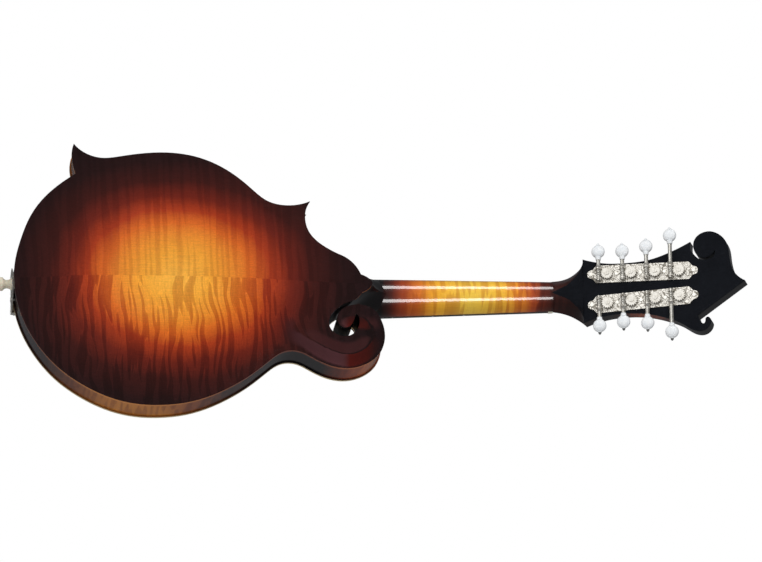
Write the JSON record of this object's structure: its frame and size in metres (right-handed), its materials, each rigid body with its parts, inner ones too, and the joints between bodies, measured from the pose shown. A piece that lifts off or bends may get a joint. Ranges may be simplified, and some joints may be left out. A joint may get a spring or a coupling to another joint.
{
  "type": "mandolin",
  "caption": "Scroll-bodied mandolin with arched back and soundboard, geared tuners, adjustable bridge, sliding tailpiece cover and strap button.",
  "frame": {"origin": "centre of the strap button's round head, on its axis at the tail end of the body", "axes": "+Z from the tail up the neck, +X to the treble side with the two body points, +Y out of the back"},
  "size_m": [0.2572, 0.1185, 0.7106],
  "materials": {
    "flamed_maple_back": "gloss sunburst lacquer over flamed maple",
    "spruce_top": "gloss sunburst lacquer over spruce",
    "cream_binding": "cream celluloid",
    "maple_rib": "dark red-brown gloss lacquer over flamed maple",
    "plain_wood": "bare sanded wood",
    "maple_neck": "amber gloss lacquer over flamed maple",
    "black_veneer": "black satin lacquer",
    "steel": "plain steel",
    "black_plastic": "black plastic",
    "ebony": "oiled ebony",
    "nickel_silver": "polished fret wire",
    "pearl": "white pearl",
    "bone": "polished bone",
    "brass": "turned brass",
    "nickel_plate": "nickel plate",
    "ivory_plastic": "ivory plastic",
    "string_wire": "plain and bronze-wound steel wire",
    "pearloid": "white pearloid"
  },
  "bodies": {
    "mandolin": {"back_plate_treble": "flamed_maple_back", "back_plate_bass": "flamed_maple_back", "top_plate_treble": "spruce_top", "top_plate_bass": "spruce_top", "top_binding": "cream_binding", "rib_treble_lower": "maple_rib", "rib_treble_waist": "maple_rib", "rib_treble_upper": "maple_rib", "rib_bass": "maple_rib", "head_block": "plain_wood", "tail_block": "plain_wood", "point_blocks": "plain_wood", "linings": "plain_wood", "tone_bars": "plain_wood", "neck": "maple_neck", "headstock_front_veneer": "black_veneer", "headstock_back_overlay": "black_veneer", "truss_rod": "steel", "truss_rod_cover": "black_plastic", "fingerboard": "ebony", "frets": "nickel_silver", "position_dots": "pearl", "nut": "bone", "bridge_base": "ebony", "bridge_posts": "brass", "tailpiece_base": "nickel_plate", "end_pin": "ivory_plastic", "strings": "string_wire", "post_bushings": "nickel_plate", "wood_screws": "steel", "tuner_plate_bass": "nickel_plate", "tuner_plate_treble": "nickel_plate"},
    "knob_treble_1": {"worm_shaft_treble_1": "nickel_plate", "tuning_button_treble_1": "pearloid"},
    "post_treble_1": {"string_post_treble_1": "nickel_plate"},
    "knob_treble_2": {"worm_shaft_treble_2": "nickel_plate", "tuning_button_treble_2": "pearloid"},
    "post_treble_2": {"string_post_treble_2": "nickel_plate"},
    "knob_treble_3": {"worm_shaft_treble_3": "nickel_plate", "tuning_button_treble_3": "pearloid"},
    "post_treble_3": {"string_post_treble_3": "nickel_plate"},
    "knob_treble_4": {"worm_shaft_treble_4": "nickel_plate", "tuning_button_treble_4": "pearloid"},
    "post_treble_4": {"string_post_treble_4": "nickel_plate"},
    "knob_bass_1": {"worm_shaft_bass_1": "nickel_plate", "tuning_button_bass_1": "pearloid"},
    "post_bass_1": {"string_post_bass_1": "nickel_plate"},
    "knob_bass_2": {"worm_shaft_bass_2": "nickel_plate", "tuning_button_bass_2": "pearloid"},
    "post_bass_2": {"string_post_bass_2": "nickel_plate"},
    "knob_bass_3": {"worm_shaft_bass_3": "nickel_plate", "tuning_button_bass_3": "pearloid"},
    "post_bass_3": {"string_post_bass_3": "nickel_plate"},
    "knob_bass_4": {"worm_shaft_bass_4": "nickel_plate", "tuning_button_bass_4": "pearloid"},
    "post_bass_4": {"string_post_bass_4": "nickel_plate"},
    "saddle": {"bridge_saddle": "ebony"},
    "wheel_bass": {"thumbwheel_bass": "brass"},
    "wheel_treble": {"thumbwheel_treble": "brass"},
    "cover": {"tailpiece_cover": "nickel_plate"}
  },
  "joints": [
    {"name": "knob_turn_treble_1", "type": "hinge", "parent": "mandolin", "child": "knob_treble_1", "pos_m": [0.014, 0.02189, 0.5686], "axis": [1, 0, 0], "continuous": true},
    {"name": "post_turn_treble_1", "type": "hinge", "parent": "mandolin", "child": "post_treble_1", "pos_m": [0.014, 0.01236, 0.58038], "axis": [0, 0.9471, -0.3209], "continuous": true},
    {"name": "knob_turn_treble_2", "type": "hinge", "parent": "mandolin", "child": "knob_treble_2", "pos_m": [0.0132, 0.02933, 0.59057], "axis": [1, 0, 0], "continuous": true},
    {"name": "post_turn_treble_2", "type": "hinge", "parent": "mandolin", "child": "post_treble_2", "pos_m": [0.0132, 0.01981, 0.60235], "axis": [0, 0.9471, -0.3209], "continuous": true},
    {"name": "knob_turn_treble_3", "type": "hinge", "parent": "mandolin", "child": "knob_treble_3", "pos_m": [0.0124, 0.03678, 0.61255], "axis": [1, 0, 0], "continuous": true},
    {"name": "post_turn_treble_3", "type": "hinge", "parent": "mandolin", "child": "post_treble_3", "pos_m": [0.0124, 0.02725, 0.62432], "axis": [0, 0.9471, -0.3209], "continuous": true},
    {"name": "knob_turn_treble_4", "type": "hinge", "parent": "mandolin", "child": "knob_treble_4", "pos_m": [0.0116, 0.04422, 0.63452], "axis": [1, 0, 0], "continuous": true},
    {"name": "post_turn_treble_4", "type": "hinge", "parent": "mandolin", "child": "post_treble_4", "pos_m": [0.0116, 0.0347, 0.6463], "axis": [0, 0.9471, -0.3209], "continuous": true},
    {"name": "knob_turn_bass_1", "type": "hinge", "parent": "mandolin", "child": "knob_bass_1", "pos_m": [-0.0154, 0.02189, 0.5686], "axis": [1, 0, 0], "continuous": true},
    {"name": "post_turn_bass_1", "type": "hinge", "parent": "mandolin", "child": "post_bass_1", "pos_m": [-0.0154, 0.01236, 0.58038], "axis": [0, 0.9471, -0.3209], "continuous": true},
    {"name": "knob_turn_bass_2", "type": "hinge", "parent": "mandolin", "child": "knob_bass_2", "pos_m": [-0.0148, 0.02933, 0.59057], "axis": [1, 0, 0], "continuous": true},
    {"name": "post_turn_bass_2", "type": "hinge", "parent": "mandolin", "child": "post_bass_2", "pos_m": [-0.0148, 0.01981, 0.60235], "axis": [0, 0.9471, -0.3209], "continuous": true},
    {"name": "knob_turn_bass_3", "type": "hinge", "parent": "mandolin", "child": "knob_bass_3", "pos_m": [-0.0142, 0.03678, 0.61255], "axis": [1, 0, 0], "continuous": true},
    {"name": "post_turn_bass_3", "type": "hinge", "parent": "mandolin", "child": "post_bass_3", "pos_m": [-0.0142, 0.02725, 0.62432], "axis": [0, 0.9471, -0.3209], "continuous": true},
    {"name": "knob_turn_bass_4", "type": "hinge", "parent": "mandolin", "child": "knob_bass_4", "pos_m": [-0.0136, 0.04422, 0.63452], "axis": [1, 0, 0], "continuous": true},
    {"name": "post_turn_bass_4", "type": "hinge", "parent": "mandolin", "child": "post_bass_4", "pos_m": [-0.0136, 0.0347, 0.6463], "axis": [0, 0.9471, -0.3209], "continuous": true},
    {"name": "saddle_lower", "type": "slide", "parent": "mandolin", "child": "saddle", "axis": [0, 1, 0], "range_m": [0, 0.0012]},
    {"name": "wheel_turn_bass", "type": "hinge", "parent": "saddle", "child": "wheel_bass", "pos_m": [-0.033, -0.0456, 0.1728], "axis": [0, 1, 0], "range_deg": [0, 617.6]},
    {"name": "wheel_turn_treble", "type": "hinge", "parent": "saddle", "child": "wheel_treble", "pos_m": [0.033, -0.0456, 0.1728], "axis": [0, 1, 0], "range_deg": [0, 617.6]},
    {"name": "cover_slide", "type": "slide", "parent": "mandolin", "child": "cover", "axis": [0, 0, -1], "range_m": [0, 0.1]}
  ],
  "couplings": [
    {"joint": "post_turn_treble_1", "follows": "knob_turn_treble_1", "ratio": 0.0625},
    {"joint": "post_turn_treble_2", "follows": "knob_turn_treble_2", "ratio": 0.0625},
    {"joint": "post_turn_treble_3", "follows": "knob_turn_treble_3", "ratio": 0.0625},
    {"joint": "post_turn_treble_4", "follows": "knob_turn_treble_4", "ratio": 0.0625},
    {"joint": "post_turn_bass_1", "follows": "knob_turn_bass_1", "ratio": 0.0625},
    {"joint": "post_turn_bass_2", "follows": "knob_turn_bass_2", "ratio": 0.0625},
    {"joint": "post_turn_bass_3", "follows": "knob_turn_bass_3", "ratio": 0.0625},
    {"joint": "post_turn_bass_4", "follows": "knob_turn_bass_4", "ratio": 0.0625},
    {"joint": "wheel_turn_bass", "follows": "saddle_lower", "rad_per_m": 8976},
    {"joint": "wheel_turn_treble", "follows": "saddle_lower", "rad_per_m": 8976}
  ]
}
